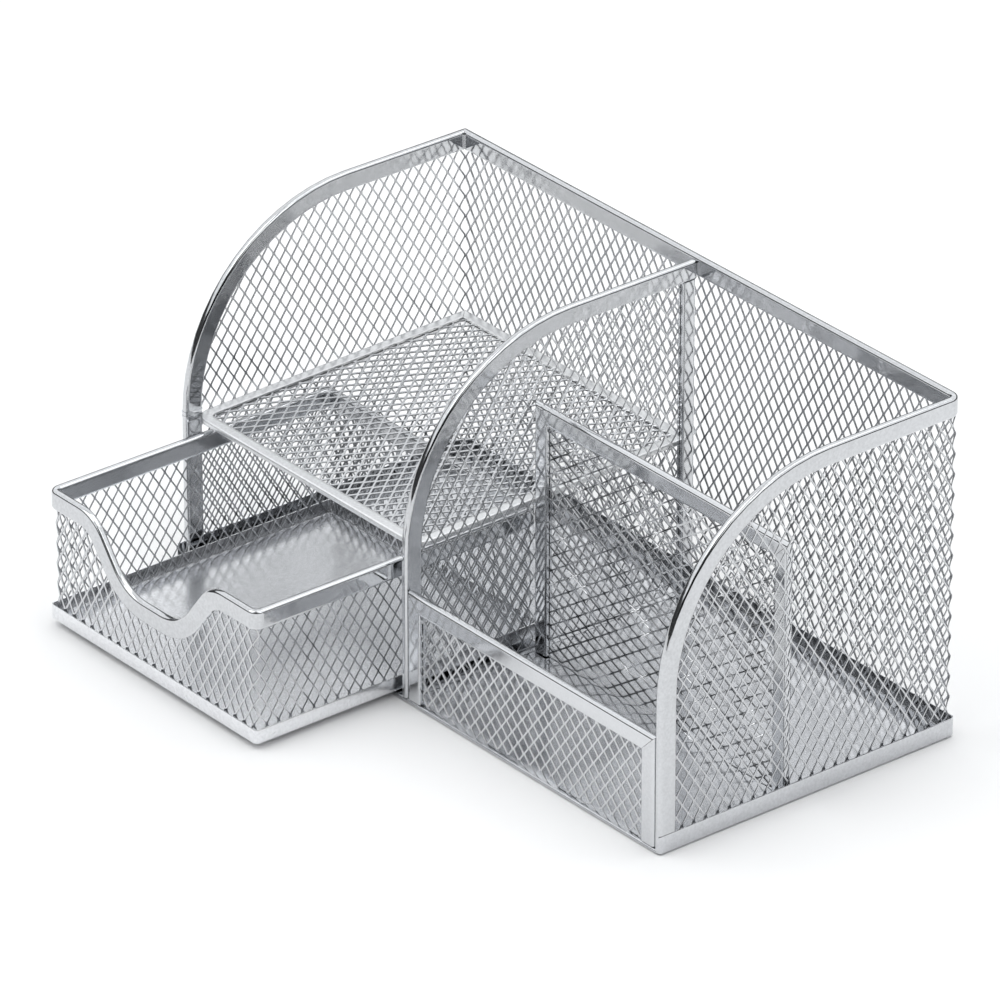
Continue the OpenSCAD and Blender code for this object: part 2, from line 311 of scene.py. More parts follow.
def sweep(build, frames, section, start_cut=(0, 0), end_cut=(0, 0)):
    """Repeats a section at every frame. A cut leans an end: it moves a point along the
    band by so much of its depth and so much of its side."""
    rings = []
    cuts = {0: start_cut, len(frames) - 1: end_cut}
    for k, (place, along, depth, side) in enumerate(frames):
        lean = cuts.get(k, (0, 0))
        ring = []
        for a, b in section:
            ring.append(place + depth * a + side * b + along * (lean[0] * a + lean[1] * b))
        rings.append(ring)
    build.tube(rings)
    build.face(rings[0])
    build.face(rings[-1])


def trimmed(frames, start=0.0, end=0.0):
    """Moves the two end frames of a band inwards, which leaves a fine open line."""
    frames = list(frames)
    place, along, depth, side = frames[0]
    frames[0] = (place + along * start, along, depth, side)
    place, along, depth, side = frames[-1]
    frames[-1] = (place - along * end, along, depth, side)
    return frames


def swept_route(front, bottom, back, top):
    """Front, sweep and top edge of a wall, as (y, z)."""
    route = Route(front, bottom, 90).straight(top - SWEEP_R - bottom)
    return route.bend(SWEEP_R, -90).straight(back - front - SWEEP_R)


def wall_rim(node, out, back, end_cut):
    low, high = span(node)
    middle = (low.x + high.x) / 2
    thick = high.x - low.x
    route = swept_route(low.y, low.z, back, high.z)
    build = Build()
    frames = edge_frames(route, side_plane(middle, out), -1)
    sweep(build, frames, folded_section(BAND_W, thick), end_cut=end_cut)
    return build, middle


def wall_foot(build, node, out):
    """The band's thinner lower end, which runs down inside the pan's edge."""
    low, high = span(node)
    clear = 0.7  # keeps it inside the pan's edge
    set_back = 0.15
    floor = SHEET_T + 0.1
    overlap = 0.9  # how far it goes up inside the band's own lower end
    outer = span("base_pan")[1].x - clear
    inner = abs(low.x if out > 0 else high.x)
    middle = out * (outer + inner) / 2
    route = Route(low.y + set_back, floor, 90).straight(low.z + overlap - floor)
    frames = edge_frames(route, side_plane(middle, out), -1)
    width = BAND_W - set_back
    section = folded_section(width, outer - inner, sheet=0.4, bend=0.7, nip=0.05)
    sweep(build, frames, section)


def crimps(build, middle, thick, front, z):
    """Two pressed ridges round an upright band, where it was joined."""
    proud_edge, proud_face = 0.15, 0.175  # how far a ridge stands out of the band
    height = 0.55
    pitch = 1.3
    section = folded_section(BAND_W + 2 * proud_edge, thick + 2 * proud_face)
    for start in (z, z + pitch):
        route = Route(front - proud_edge, start, 90).straight(height)
        sweep(build, edge_frames(route, side_plane(middle, -1), -1), section)


def corner_tab(build, x, y, top):
    """Small rolled tab that closes the inside of the corner where two rims meet."""
    width, depth = 1.9, 5.4
    roll, thin, start = 0.35, 0.25, 0.25
    bulge = 0.7  # depth at which the rolled top is thickest
    reach = width / 2 / math.sqrt(2)
    route = Route(x - reach, y - reach, 45).straight(width)
    section = [(start, 0), (bulge, roll), (depth, thin), (depth, -thin), (bulge, -roll)]
    sweep(build, hanging_frames(route, top, -1), section)


def make_left_rim():
    back_high = span("back_rim_band")[1].y
    low, high = span("left_rim_band")
    thick = high.x - low.x
    build, middle = wall_rim("left_rim_band", -1, back_high - thick / 2 - SEAM, (0, 1))
    wall_foot(build, "left_rim_band", -1)
    joint = high.z - SWEEP_R - 1  # just under the start of the sweep
    crimps(build, middle, thick, low.y, joint)
    off_rim = 0.15
    corner_tab(build, high.x + off_rim, back_high - thick - off_rim, high.z)
    build.piece("left_rim_folded", "left_rim_band", "organizer", "band")


def make_right_rim():
    back_high = span("back_rim_band")[1].y
    build, _ = wall_rim("right_rim_band", 1, back_high - CORNER_R, (0, 0))
    wall_foot(build, "right_rim_band", 1)
    build.piece("right_rim_folded", "right_rim_band", "organizer", "band")


def make_back_rim():
    low, high = span("back_rim_band")
    thick = span("right_rim_band")[1].x - span("right_rim_band")[0].x
    half = thick / 2
    route = Route(high.x - half, high.y - CORNER_R, 90).bend(CORNER_R - half, 90)
    route.straight(high.x - CORNER_R - low.x - half - SEAM)
    build = Build()
    frames = hanging_frames(route, high.z, -1)
    sweep(build, frames, folded_section(BAND_W, thick), end_cut=(0, 1))
    build.piece("back_rim_folded", "back_rim_band", "organizer", "band")


def make_divider_rim():
    high = span("middle_divider_rim_band")[1]
    build, _ = wall_rim("middle_divider_rim_band", 1, high.y, (0, 0))
    build.piece("middle_divider_rim_folded", "middle_divider_rim_band", "organizer", "band")


def make_divider_rear():
    low, high = span("middle_divider_rear_band")
    route = Route(high.y, low.z, 90).straight(high.z - low.z)
    build = Build()
    frames = edge_frames(route, side_plane((low.x + high.x) / 2), 1)
    sweep(build, frames, folded_section(high.y - low.y, high.x - low.x))
    build.piece("middle_divider_rear_folded", "middle_divider_rear_band", "organizer", "band")


def make_panel_bands(panel):
    """Three mitred bands round an upright panel that faces the front."""
    low = span(f"{panel}_left_band")[0]
    high = span(f"{panel}_right_band")[1]
    top = span(f"{panel}_top_band")[1].z
    left, right, foot = low.x + PANEL_GAP, high.x - PANEL_GAP, low.z + PANEL_GAP
    plane = front_plane((low.y + high.y) / 2)
    section = folded_section(BAND_W - PANEL_GAP, high.y - low.y)
    routes = {
        "left": Route(left, foot, 90).straight(top - foot),
        "top": Route(left, top, 0).straight(right - left),
        "right": Route(right, top, -90).straight(top - foot),
    }
    mitred = {"left": (0, -1), "top": (1, -1), "right": (1, 0)}
    for side, route in routes.items():
        start, end = mitred[side]
        frames = trimmed(edge_frames(route, plane, -1), SEAM * abs(start), SEAM * abs(end))
        build = Build()
        sweep(build, frames, section, (start, 0), (end, 0))
        node = f"{panel}_{side}_band"
        build.piece(f"{panel}_{side}_folded", node, "organizer", "band")


def shelf_route():
    """Left, front and right edge of the shelf, seen from above."""
    low, high = span("shelf_frame")
    side = high.y - low.y - SHELF_CORNER_R
    route = Route(low.x, high.y, -90).straight(side).bend(SHELF_CORNER_R, 90)
    route.straight(high.x - low.x - 2 * SHELF_CORNER_R)
    return route.bend(SHELF_CORNER_R, 90).straight(side)


def shelf_plane():
    """Middle of the shelf's thickness, which leans down from the back to the front."""
    low, high = span("shelf_frame")
    lean = math.asin(SHELF_DROP / (high.y - low.y))
    up = (0, math.cos(lean), math.sin(lean))
    out = (0, -math.sin(lean), math.cos(lean))
    back_z = high.z - SHELF_T / 2
    origin = (0, high.y * (1 - up[1]), back_z - high.y * up[2])
    return Plane(origin, (1, 0, 0), up, out)


def make_shelf_edges():
    """Frame and back strip of the shelf, mitred into each other."""
    low, high = span("shelf_frame")
    plane = shelf_plane()
    section = folded_section(SHELF_EDGE_W, SHELF_T, bend=0.6, nip=0.1)
    back = Route(high.x, high.y, 180).straight(high.x - low.x)
    edges = {
        "shelf_frame": ("shelf_frame_folded", shelf_route()),
        "shelf_back_strip": ("shelf_back_folded", back),
    }
    for node, (name, route) in edges.items():
        build = Build()
        frames = trimmed(edge_frames(route, plane, 1), SEAM, SEAM)
        sweep(build, frames, section, (1, 0), (-1, 0))
        # its lighter finish paints light onto the up-facing shelf edge
        build.piece(name, node, "organizer", "shelf_edge")


# ---- drawer rim ----


def notch_route(left, right, top):
    """Top edge of the drawer front with the wavy finger notch, as (x, z)."""
    slope = math.radians(NOTCH_SLOPE)
    drop = (SHOULDER_R + DIP_R) * (1 - math.cos(slope))
    run = (NOTCH_DEPTH - drop) / math.sin(slope)
    half = NOTCH_FLAT + (SHOULDER_R + DIP_R) * math.sin(slope) + run * math.cos(slope)
    level = (right - left) / 2 - half
    route = Route(left, top, 0).straight(level)
    route.bend(SHOULDER_R, -NOTCH_SLOPE).straight(run).bend(DIP_R, NOTCH_SLOPE)
    route.straight(2 * NOTCH_FLAT)
    route.bend(DIP_R, NOTCH_SLOPE).straight(run).bend(SHOULDER_R, -NOTCH_SLOPE)
    return route.straight(level)


def drawer_front_route():
    low, high = span("drawer_front_rim_band")
    return notch_route(low.x + DRAWER_CORNER_R, high.x - DRAWER_CORNER_R, high.z)


def drawer_box():
    """Box of the drawer's walls: the front rim gives width and front, the rear one the back."""
    low, high = span("drawer_front_rim_band")
    back = span("drawer_back_rim_band")[1].y
    return low, Vector((high.x, back, high.z))


def make_drawer_rims():
    low, high = drawer_box()
    band = span("drawer_left_rim_band")
    thick = band[1].x - band[0].x
    half = thick / 2
    bend = DRAWER_CORNER_R - half
    section = folded_section(BAND_W, thick)
    side = high.y - low.y - 2 * DRAWER_CORNER_R
    width = high.x - low.x - 2 * DRAWER_CORNER_R
    rear_y = high.y - DRAWER_CORNER_R
    front_y = low.y + DRAWER_CORNER_R
    back = Route(high.x - half, rear_y, 90).bend(bend, 90).straight(width).bend(bend, 90)
    left = Route(low.x + half, rear_y, -90).straight(side)
    right = Route(high.x - half, front_y, 90).straight(side)
    corners = (
        Route(low.x + half, front_y, -90).bend(bend, 90),
        Route(high.x - DRAWER_CORNER_R, low.y + half, 0).bend(bend, 90),
    )
    front = hanging_frames(corners[0], high.z, -1)
    front += edge_frames(drawer_front_route(), front_plane(low.y + half), -1)[1:-1]
    front += hanging_frames(corners[1], high.z, -1)
    rows = {
        "back": hanging_frames(back, high.z, -1),
        "left": hanging_frames(left, high.z, -1),
        "right": hanging_frames(right, high.z, -1),
        "front": front,
    }
    for name, frames in rows.items():
        build = Build()
        sweep(build, frames, section)
        build.piece(f"drawer_{name}_rim_folded", f"drawer_{name}_rim_band", "drawer", "band")


# ---- expanded metal sheets ----


def cell_outline(centre, weave, hold, tilt):
    """Corners of one cell and of the hole in it, as (u, v, lean) held inside the sheet."""
    short, long = (Vector(step) / 2 for step in weave)
    centre = Vector(centre)
    width = abs(short.x * long.y - short.y * long.x) * 2 / (short - long).length
    shrink = 1 - STRAND_W / width
    flat = long.normalized() * BOND
    tip = long * shrink
    shoulder = short * shrink * (1 - BOND / tip.length)
    corners = [centre + long, centre + short, centre - long, centre - short]
    hole = [
        (centre + tip, 0),
        (centre + shoulder + flat, 1),
        (centre + shoulder - flat, 1),
        (centre - tip, 0),
        (centre - shoulder - flat, -1),
        (centre - shoulder + flat, -1),
    ]
    outer = [(*hold(*c), 0.0) for c in corners]
    inner = [(*hold(*c), lean * tilt) for c, lean in hole]
    return outer, inner


def pairs_round(points):
    """Every point with the next one, all the way round."""
    return zip(points, points[1:] + points[:1])


def flat_area(corners):
    """Area of a flat polygon of (u, v, lean) corners."""
    total = 0.0
    for a, b in pairs_round(corners):
        total += a[0] * b[1] - b[0] * a[1]
    return abs(total) / 2


def diamond_sheet(build, put, weave, region, keep, hold, tilt=TILT):
    """Fills a region with diamond cells. put places (u, v, w) in space, keep says whether
    a cell belongs here and hold moves a flat point back inside the sheet's outline. tilt
    is how far the strands lean, and its sign says to which side."""
    short, long = (Vector(step) for step in weave)
    (u0, v0), (u1, v1) = region
    reach = int((u1 - u0 + v1 - v0) / min(short.length, long.length)) + 4
    start = Vector((u0, v0))
    margin = 1.0
    rims = {}
    for i in range(-reach, reach):
        for j in range(-reach, reach):
            centre = start + (short * (i + j) + long * (i - j)) / 2
            across = u0 - margin < centre.x < u1 + margin
            along = v0 - margin < centre.y < v1 + margin
            if across and along and keep(*centre):
                add_cell(build, put, cell_outline(centre, weave, hold, tilt), rims)
    close_rims(build, put, rims)


def add_cell(build, put, cell, rims):
    """Front, back and inner walls of one ring-shaped cell. rims collects its outer edges
    and drops those that two cells share."""
    outer, inner = cell
    right, top, left, bottom = outer
    ring = [
        (right, top, inner[1], inner[0]),
        (top, inner[2], inner[1]),
        (top, left, inner[3], inner[2]),
        (left, bottom, inner[4], inner[3]),
        (bottom, inner[5], inner[4]),
        (bottom, right, inner[0], inner[5]),
    ]
    for corners in ring:
        if flat_area(corners) < SLIVER:
            continue
        for side in (STRAND_T / 2, -STRAND_T / 2):
            build.face([put(u, v, lean + side) for u, v, lean in corners])
    for a, b in pairs_round(inner):
        cut_wall(build, put, a, b)
    for a, b in pairs_round(outer):
        key = frozenset((tuple(round(c, 3) for c in a), tuple(round(c, 3) for c in b)))
        rims[key] = None if key in rims else (a, b)


def cut_wall(build, put, a, b):
    """Cut edge of the sheet between two (u, v, lean) corners."""
    half = STRAND_T / 2
    edge = [(a, half), (b, half), (b, -half), (a, -half)]
    # cut edges take the darker finish, which is partly thin lacquer and partly painted shade
    # inside the holes
    build.face([put(u, v, lean + side) for (u, v, lean), side in edge], CUT_THIN_PAINT_AND_SHADE)


def close_rims(build, put, rims):
    """Walls along the cell edges that no neighbour shares."""
    for pair in rims.values():
        if pair:
            cut_wall(build, put, *pair)


def wrapped(route):
    """Placer for a sheet that stands on a level route, with its outer side to the left."""

    def put(u, v, w):
        x, y, heading = route.at(u)
        return (x - math.sin(heading) * w, y + math.cos(heading) * w, v)

    return put


def hold_swept(y, z, front, bottom, top):
    """Moves (y, z) inside a wall with a swept front."""
    z = max(z, bottom)
    inside = SWEEP_R - MESH_IN
    dy, dz = y - (front + SWEEP_R), z - (top - SWEEP_R)
    if dy < 0 and dz > 0:
        far = math.hypot(dy, dz)
        if far > inside:
            return (y - dy + dy * inside / far, z - dz + dz * inside / far)
        return (y, z)
    return (max(y, front + MESH_IN), min(z, top - MESH_IN))


def same(a, b):
    near = 1e-6
    return abs(a[0] - b[0]) + abs(a[1] - b[1]) < near


def keep_inside(hold):
    """Test that keeps the cells whose centre lies inside the sheet's outline."""

    def keep(u, v):
        return same(hold(u, v), (u, v))

    return keep


def first_row(weave, pan, bottom):
    """Height of the lowest row of nodes, where one row stands on the pan's edge."""
    step = weave[1][1] / 2
    on_edge = span(pan)[1].z + NODE_OVER_EDGE
    return on_edge - step * math.ceil((on_edge - bottom) / step)


def make_walls_mesh():
    """The three outer walls are one sheet, wrapped round the two rear corners."""
    left_low = span("left_rim_band")[0]
    right_low, right_high = span("right_rim_band")
    low, high = span("back_rim_band")
    half = (right_high.x - right_low.x) / 2
    bend = MESH_CORNER_R
    bottom = span("back_wall_mesh")[0].z
    side = high.y - half - bend - right_low.y
    route = Route(low.x + half, right_low.y, 90).straight(side).bend(bend, -90)
    route.straight(high.x - low.x - 2 * (half + bend)).bend(bend, -90).straight(side)
    total = route.length
    corner = bend * math.pi / 2
    first = side + corner / 2
    second = total - side - corner / 2
    put = wrapped(route)
    row = first_row(WALL_WEAVE, "base_pan", bottom)

    def hold(u, v):
        if u < total / 2:
            y, z = hold_swept(right_low.y + u, v, left_low.y, bottom, high.z)
            return (y - right_low.y, z)
        y, z = hold_swept(right_low.y + total - u, v, right_low.y, bottom, high.z)
        return (right_low.y + total - y, z)

    ends = {"left": (0, first), "back": (first, second), "right": (second, total)}
    for name, (start, end) in ends.items():

        def keep(u, v, start=start, end=end):
            return start <= u < end and same(hold(u, v), (u, v))

        build = Build()
        region = ((0, row), (total, high.z))
        diamond_sheet(build, put, WALL_WEAVE, region, keep, hold, WALL_TILT)
        build.piece(f"{name}_wall_expanded", f"{name}_wall_mesh", "organizer", "mesh")


def make_divider_mesh():
    rim_low, rim_high = span("middle_divider_rim_band")
    low, high = span("middle_divider_mesh")
    plane = side_plane((rim_low.x + rim_high.x) / 2)

    def hold(u, v):
        y, z = hold_swept(u, v, rim_low.y, low.z, rim_high.z)
        return (min(y, high.y), z)

    build = Build()
    region = ((low.y, low.z), (high.y, high.z))
    diamond_sheet(build, plane.point, DIVIDER_WEAVE, region, keep_inside(hold), hold)
    build.piece("middle_divider_expanded", "middle_divider_mesh", "organizer", "mesh")


def make_panel_mesh(panel, weave):
    low, high = span(f"{panel}_mesh")
    plane = front_plane((low.y + high.y) / 2)

    def hold(u, v):
        return (min(max(u, low.x), high.x), min(max(v, low.z), high.z))

    build = Build()
    region = ((low.x, low.z), (high.x, high.z))
    diamond_sheet(build, plane.point, weave, region, keep_inside(hold), hold)
    build.piece(f"{panel}_expanded", f"{panel}_mesh", "organizer", "mesh")


def make_shelf_mesh():
    low, high = span("shelf_mesh")
    plane = shelf_plane()
    bend = SHELF_CORNER_R - 1  # the sheet ends 1 mm inside its folded edge

    def hold(u, v):
        u = min(max(u, low.x), high.x)
        v = min(max(v, low.y), high.y)
        centre_u = min(max(u, low.x + bend), high.x - bend)
        du, dv = u - centre_u, v - (low.y + bend)
        far = math.hypot(du, dv)
        if dv < 0 and far > bend:
            return (centre_u + du * bend / far, low.y + bend + dv * bend / far)
        return (u, v)

    build = Build()
    region = ((low.x, low.y), (high.x, high.y))
    diamond_sheet(build, plane.point, SHELF_WEAVE, region, keep_inside(hold), hold)
    build.piece("shelf_expanded", "shelf_mesh", "organizer", "mesh")


def height_at(route, x):
    """Height of the drawer front's top edge above x, found by halving."""
    low, high = 0.0, route.length
    for _ in range(30):
        middle = (low + high) / 2
        if route.at(middle)[0] < x:
            low = middle
        else:
            high = middle
    return route.at(low)[1]


def make_drawer_meshes():
    """The drawer's wall is one sheet bent into a ring, told apart by side."""
    low, high = drawer_box()
    band = span("drawer_left_rim_band")
    half = (band[1].x - band[0].x) / 2
    bend = DRAWER_CORNER_R - half
    corner = bend * math.pi / 2
    side = high.y - low.y - 2 * DRAWER_CORNER_R
    width = high.x - low.x - 2 * DRAWER_CORNER_R
    route = Route(low.x + half, low.y + DRAWER_CORNER_R, 90).straight(side).bend(bend, -90)
    route.straight(width).bend(bend, -90).straight(side).bend(bend, -90)
    route.straight(width).bend(bend, -90)
    total = route.length
    put = wrapped(route)
    cells = round(total / DRAWER_WEAVE[0][0])
    weave = ((total / cells, 0.0), DRAWER_WEAVE[1])
    bottom = span("drawer_front_mesh")[0].z
    row = first_row(weave, "drawer_pan", bottom)
    rim = drawer_front_route()
    front_start = 2 * side + width + 2 * corner
    notched = front_start + corner

    def hold(u, v):
        u = u % total
        top = height_at(rim, route.at(u)[0]) if u > notched else high.z
        return (u, max(min(v, top - MESH_IN), bottom))

    ends = {
        "left": (0, side),
        "back": (side, side + width + 2 * corner),
        "right": (side + width + 2 * corner, front_start),
        "front": (front_start, total),
    }
    for name, (start, end) in ends.items():

        def keep(u, v, start=start, end=end):
            return start <= u < end and same(hold(u, v), (u, v))

        build = Build()
        region = ((0, row), (total, high.z))
        diamond_sheet(build, put, weave, region, keep, hold, -TILT)
        build.piece(f"drawer_{name}_expanded", f"drawer_{name}_mesh", "drawer", "mesh")


# ---- pressed pans ----


def edge_section(height):
    """A pan's edge as (inwards, up) points, from under the floor round to its top."""
    lip = SHEET_T / 2
    bend = (PAN_BEND, PAN_BEND)
    outline = [(PAN_REACH, 0)] + arc(bend, PAN_BEND, -90, -180, 5)
    outline += arc((lip, height - lip), lip, 180, 0, 4)
    outline += arc(bend, PAN_BEND - SHEET_T, -180, -90, 4)
    return outline + [(PAN_REACH, SHEET_T)]


def pan_rings(route, floor, height, end_round=0.0):
    """Cross-sections of a pan's edge along a level route with its outer face to the left.
    end_round is the radius to which the edge's top comes down at both ends."""
    stations = route.stations()
    if end_round:
        extra = [end_round * (1 - math.cos(math.radians(a))) for a in range(15, 91, 15)]
        stations = sorted(set(stations + extra + [route.length - e for e in extra]))
    rings = []
    for s in stations:
        x, y, heading = route.at(s)
        short = max(0, end_round - min(s, route.length - s))
        top = height - end_round + math.sqrt(max(0, end_round**2 - short**2))
        inward = Vector((math.sin(heading), -math.cos(heading), 0))
        rings.append([Vector((x, y, floor + b)) + inward * a for a, b in edge_section(top)])
    return rings


def pan_edge_route(low, high):
    """Upturned edge of the base pan: its left, rear and right side and its front corners."""
    bend = PAN_CORNER_R
    start = low.y + 0.1  # just behind the folded front edge
    side = high.y - bend - start - PAN_FRONT_R
    route = Route(low.x + PAN_FRONT_R, start, 180).bend(PAN_FRONT_R, -90)
    route.straight(side).bend(bend, -90)
    route.straight(high.x - low.x - 2 * bend).bend(bend, -90)
    return route.straight(side).bend(PAN_FRONT_R, -90)


def add_pan_hem(build, low, high):
    """Folded front edge of the base pan, with rounded ends."""
    nose = HEM_H / 2
    under = HEM_H - HEM_SHEET_T
    rear = 1.0  # where the fold's lower layer meets the floor
    hem = [(rear, 0), (nose, 0)] + arc((nose, nose), nose, -90, -270, 8)[1:]
    hem += [(HEM_D, HEM_H), (HEM_D, under), (rear, under)]
    ends = []
    for degrees in range(0, 91, 15):
        turn = math.radians(degrees)
        inset = PAN_BEND + PAN_FRONT_R * (1 - math.sin(turn))
        ends.append((inset, PAN_FRONT_R * (1 - math.cos(turn))))
    stops = [(low.x + inset, back) for inset, back in ends[::-1]]
    stops += [(high.x - inset, back) for inset, back in ends]
    rows = []
    for x, back in stops:
        row = []
        for a, b in hem:
            row.append(Vector((x, low.y + min(back + a, max(a, HEM_D)), low.z + b)))
        rows.append(row)
    build.tube(rows)
    build.face(rows[0])
    build.face(rows[-1])


def make_base_pan():
    low, high = span("base_pan")
    route = pan_edge_route(low, high)
    rings = pan_rings(route, low.z, high.z - low.z, PAN_END_ROUND)
    build = Build()
    build.tube(rings, closed_section=False)
    build.face([ring[0] for ring in rings])
    build.face([ring[-1] for ring in rings])
    build.face(rings[0])
    build.face(rings[-1])
    build.face([rings[0][0], rings[0][-1], rings[-1][-1], rings[-1][0]])
    add_pan_hem(build, low, high)
    build.piece("base_pan_pressed", "base_pan", "organizer", "pan")


def make_drawer_pan():
    low, high = span("drawer_pan")
    bend = DRAWER_PAN_CORNER_R
    side = high.y - low.y - 2 * bend
    width = high.x - low.x - 2 * bend
    route = Route(low.x, low.y + bend, 90).straight(side).bend(bend, -90)
    route.straight(width).bend(bend, -90).straight(side).bend(bend, -90)
    route.straight(width).bend(bend, -90)
    rings = pan_rings(route, low.z, high.z - low.z)[:-1]
    build = Build()
    build.tube(rings, closed_section=False, loop=True)
    build.face([ring[0] for ring in rings])
    build.face([ring[-1] for ring in rings])
    # the drawer pan's lighter finish is painted light on its floor
    build.piece("drawer_pan_pressed", "drawer_pan", "drawer", "pan", finish="drawer_pan")


# ---- finishes ----


def add_node(tree, kind, **values):
    node = tree.nodes.new(kind)
    for name, value in values.items():
        node.inputs[name.replace("_", " ")].default_value = value
    return node


def remap(tree, source, low, high):
    """Spreads a noise value, which stays near 0.5, from low to high."""
    node = add_node(tree, "ShaderNodeMapRange", To_Min=low, To_Max=high)
    node.inputs["From Min"].default_value = 0.3
    node.inputs["From Max"].default_value = 0.7
    tree.links.new(source, node.inputs["Value"])
    return node.outputs["Result"]


def tinted(tone, amount):
    """Colour of a tone made lighter or darker."""
    return (*(min(1, c * amount) for c in tone), 1)


def colour_nodes(tree, tone, flake):
    """Fine flakes of two shades of the tone, worn lighter along sharp edges."""
    shade = tree.nodes.new("ShaderNodeMix")
    shade.data_type = "RGBA"
    shade.inputs["A"].default_value = tinted(tone, 0.9)
    shade.inputs["B"].default_value = tinted(tone, 1.06)
    tree.links.new(remap(tree, flake, 0.0, 1.0), shade.inputs["Factor"])
    geometry = tree.nodes.new("ShaderNodeNewGeometry")
    edge = add_node(tree, "ShaderNodeMapRange", To_Min=0.0, To_Max=0.6)
    edge.inputs["From Min"].default_value = 0.52
    edge.inputs["From Max"].default_value = 0.62
    tree.links.new(geometry.outputs["Pointiness"], edge.inputs["Value"])
    wear = tree.nodes.new("ShaderNodeMix")
    wear.data_type = "RGBA"
    wear.inputs["B"].default_value = tinted(tone, 1.2)
    tree.links.new(edge.outputs["Result"], wear.inputs["Factor"])
    tree.links.new(shade.outputs["Result"], wear.inputs["A"])
    return wear.outputs["Result"]


def bump_nodes(tree, flake, swell, wave):
    """Grain of the flakes on the soft wave of the sheet."""
    fine = add_node(tree, "ShaderNodeBump", Strength=0.08, Distance=0.00003)
    tree.links.new(flake, fine.inputs["Height"])
    soft = add_node(tree, "ShaderNodeBump", Strength=wave, Distance=0.0004)
    tree.links.new(swell, soft.inputs["Height"])
    tree.links.new(fine.outputs["Normal"], soft.inputs["Normal"])
    return soft.outputs["Normal"]


def metal(name, tone, roughness, spread, wave):
    """Silver lacquer over steel: cloudy gloss, fine flake and a soft wave of the sheet."""
    material = bpy.data.materials.new(name)
    material.use_nodes = True
    tree = material.node_tree
    shader = tree.nodes["Principled BSDF"]
    shader.inputs["Metallic"].default_value = 1.0
    shader.inputs["Coat Weight"].default_value = 0.3
    shader.inputs["Coat Roughness"].default_value = 0.12
    place = tree.nodes.new("ShaderNodeTexCoord").outputs["Object"]
    cloud = add_node(tree, "ShaderNodeTexNoise", Scale=70.0, Detail=4.0, Roughness=0.6)
    flake = add_node(tree, "ShaderNodeTexNoise", Scale=1300.0, Detail=2.0)
    swell = add_node(tree, "ShaderNodeTexNoise", Scale=160.0, Detail=2.0)
    for node in (cloud, flake, swell):
        tree.links.new(place, node.inputs["Vector"])
    rough = remap(tree, cloud.outputs["Fac"], roughness - spread, roughness + spread)
    tree.links.new(rough, shader.inputs["Roughness"])
    colour = colour_nodes(tree, tone, flake.outputs["Fac"])
    tree.links.new(colour, shader.inputs["Base Color"])
    normal = bump_nodes(tree, flake.outputs["Fac"], swell.outputs["Fac"], wave)
    tree.links.new(normal, shader.inputs["Normal"])
    return material


# Tone, roughness, how much the roughness varies, and depth of the sheet's wave
FINISH = {
    "mesh": metal("mesh_silver", (0.6, 0.61, 0.625), 0.2, 0.05, 0.2),
    # darker cut edges: partly thin lacquer, partly painted shade inside the holes
    "cut": metal("cut_edge_thin_paint_and_shade", (0.3, 0.305, 0.315), 0.4, 0.08, 0.2),
    "band": metal("band_silver", (0.6, 0.61, 0.625), 0.1, 0.04, 0.2),
    # lighter than the bands: painted light on the shelf's up-facing edge
    "shelf_edge": metal("shelf_edge_painted_light", (0.84, 0.85, 0.86), 0.34, 0.06, 0.15),
    "pan": metal("pan_silver", (0.62, 0.63, 0.65), 0.13, 0.04, 0.08),
    # lighter than the base pan: painted light on the drawer's floor
    "drawer_pan": metal("drawer_pan_silver_painted_light", (0.82, 0.83, 0.85), 0.24, 0.04, 0.03),
}


# ---- the pieces ----

make_base_pan()
make_walls_mesh()
make_left_rim()
make_back_rim()
make_right_rim()
make_divider_mesh()
make_divider_rim()
make_divider_rear()
make_shelf_mesh()
make_shelf_edges()
make_panel_mesh("inner_divider", INNER_WEAVE)
make_panel_bands("inner_divider")
make_panel_mesh("front_lip", LIP_WEAVE)
make_panel_bands("front_lip")
make_drawer_pan()
make_drawer_meshes()
make_drawer_rims()


# ---- room, light and camera ----


def make_floor():
    """Plain pale floor, a hair under the organizer."""
    bpy.ops.mesh.primitive_plane_add(size=4, location=(0, 0, -0.0002))
    floor = bpy.context.object
    floor.name = "floor"
    material = bpy.data.materials.new("floor_paper")
    material.use_nodes = True
    shader = material.node_tree.nodes["Principled BSDF"]
    shader.inputs["Base Color"].default_value = (0.98, 0.98, 0.98, 1)
    shader.inputs["Roughness"].default_value = 0.7
    floor.data.materials.append(material)


def make_light(name, place, size, power):
    """Square soft light that faces the organizer."""
    data = bpy.data.lights.new(name, "AREA")
    data.size = size
    data.energy = power
    light = bpy.data.objects.new(name, data)
    bpy.context.scene.collection.objects.link(light)
    light.location = place
    light.rotation_euler = (-Vector(place)).to_track_quat("-Z", "Y").to_euler()


def wall_light(tree, direction):
    """Light of the studio walls: dark near the floor, bright above and softer overhead."""
    split = tree.nodes.new("ShaderNodeSeparateXYZ")
    ramp = tree.nodes.new("ShaderNodeValToRGB")
    tree.links.new(direction, split.inputs["Vector"])
    tree.links.new(split.outputs["Z"], ramp.inputs["Fac"])
    stops = ((0.0, 0.03), (0.34, 0.06), (0.42, 0.95), (0.6, 1.0), (0.8, 0.85), (1.0, 0.5))
    tint = (0.97, 0.985, 1.0)  # slightly cool
    colours = ramp.color_ramp.elements
    while len(colours) < len(stops):
        colours.new(0.5)
    for element, (height, level) in zip(colours, stops):
        element.position = height
        element.color = (*(level * c for c in tint), 1)
    return ramp.outputs["Color"]


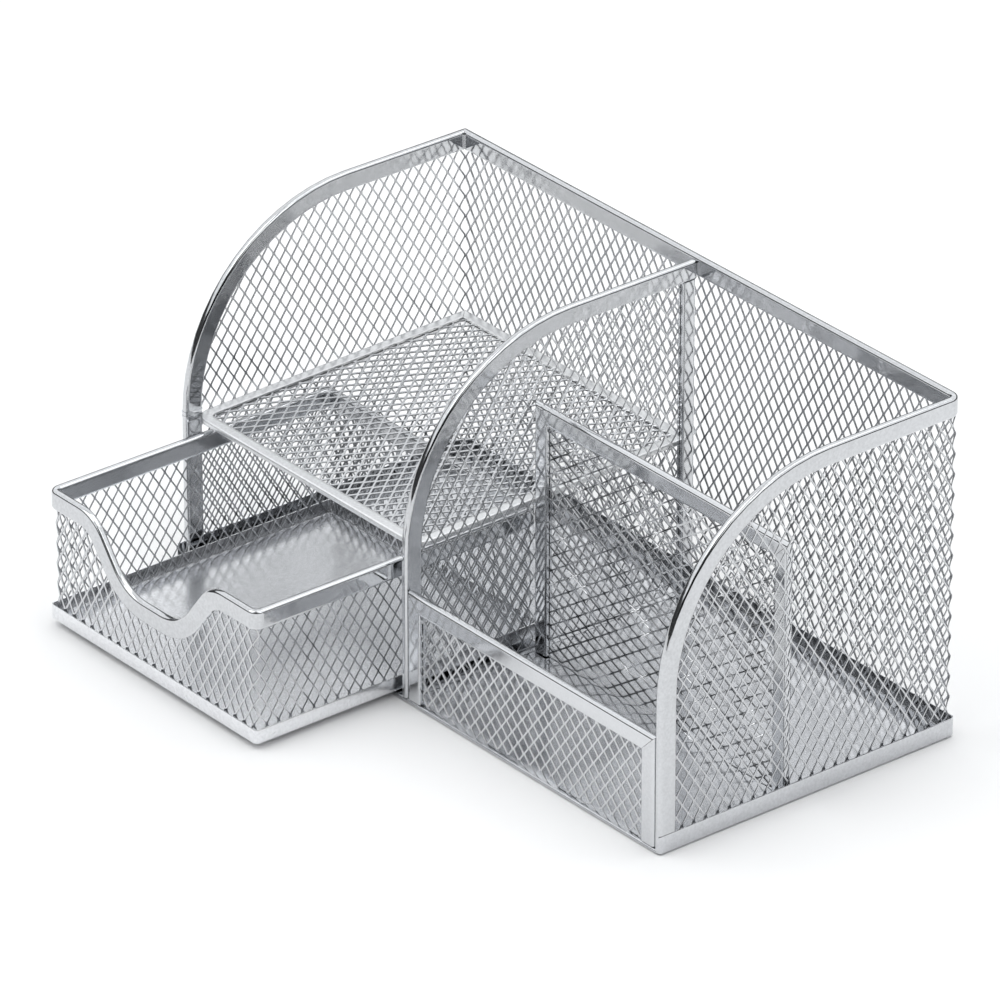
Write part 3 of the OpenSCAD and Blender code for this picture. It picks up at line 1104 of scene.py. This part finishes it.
def opening_dimmer(tree, direction):
    """Dark round opening high at the front right, for a darker patch in what mirrors it."""
    towards = tree.nodes.new("ShaderNodeVectorMath")
    towards.operation = "DOT_PRODUCT"
    towards.inputs[1].default_value = (0.7, -0.5, 0.51)
    tree.links.new(direction, towards.inputs[0])
    dimmer = add_node(tree, "ShaderNodeMapRange", From_Min=0.84, From_Max=0.92)
    dimmer.inputs["To Min"].default_value = 1.0
    dimmer.inputs["To Max"].default_value = 0.04
    tree.links.new(towards.outputs["Value"], dimmer.inputs["Value"])
    return dimmer.outputs["Result"]


def make_world():
    world = bpy.data.worlds.new("studio")
    bpy.context.scene.world = world
    world.use_nodes = True
    tree = world.node_tree
    direction = tree.nodes.new("ShaderNodeTexCoord").outputs["Generated"]
    dimmed = tree.nodes.new("ShaderNodeVectorMath")
    dimmed.operation = "SCALE"
    tree.links.new(wall_light(tree, direction), dimmed.inputs[0])
    tree.links.new(opening_dimmer(tree, direction), dimmed.inputs["Scale"])
    background = tree.nodes["Background"]
    background.inputs["Strength"].default_value = 1.25
    tree.links.new(dimmed.outputs["Vector"], background.inputs["Color"])


# Camera: angles from the front and the level, distance and target in metres
CAMERA_AZIMUTH = math.radians(51.07)
CAMERA_ELEVATION = math.radians(27.91)
CAMERA_DISTANCE = 2.761
CAMERA_TARGET = Vector((-0.0087, -0.0148, 0.0492))
CAMERA_LENS = 349.4  # millimetres


def make_camera():
    """Camera in front of the right corner, looking down at the organizer."""
    data = bpy.data.cameras.new("camera")
    data.sensor_width = 36
    data.lens = CAMERA_LENS
    data.clip_end = 100
    camera = bpy.data.objects.new("camera", data)
    bpy.context.scene.collection.objects.link(camera)
    level = math.cos(CAMERA_ELEVATION)
    x = math.sin(CAMERA_AZIMUTH) * level
    y = -math.cos(CAMERA_AZIMUTH) * level
    away = Vector((x, y, math.sin(CAMERA_ELEVATION)))
    camera.location = CAMERA_TARGET + away * CAMERA_DISTANCE
    camera.rotation_euler = (-away).to_track_quat("-Z", "Y").to_euler()
    bpy.context.scene.camera = camera


make_floor()
make_world()
make_light("key", (-0.5, -0.9, 1.9), 1.3, 10)
make_light("side", (1.6, -0.3, 1.7), 1.3, 6)
make_light("top", (0.1, 0.6, 2.1), 1.5, 8)
make_camera()
bpy.context.scene.view_settings.view_transform = "Standard"
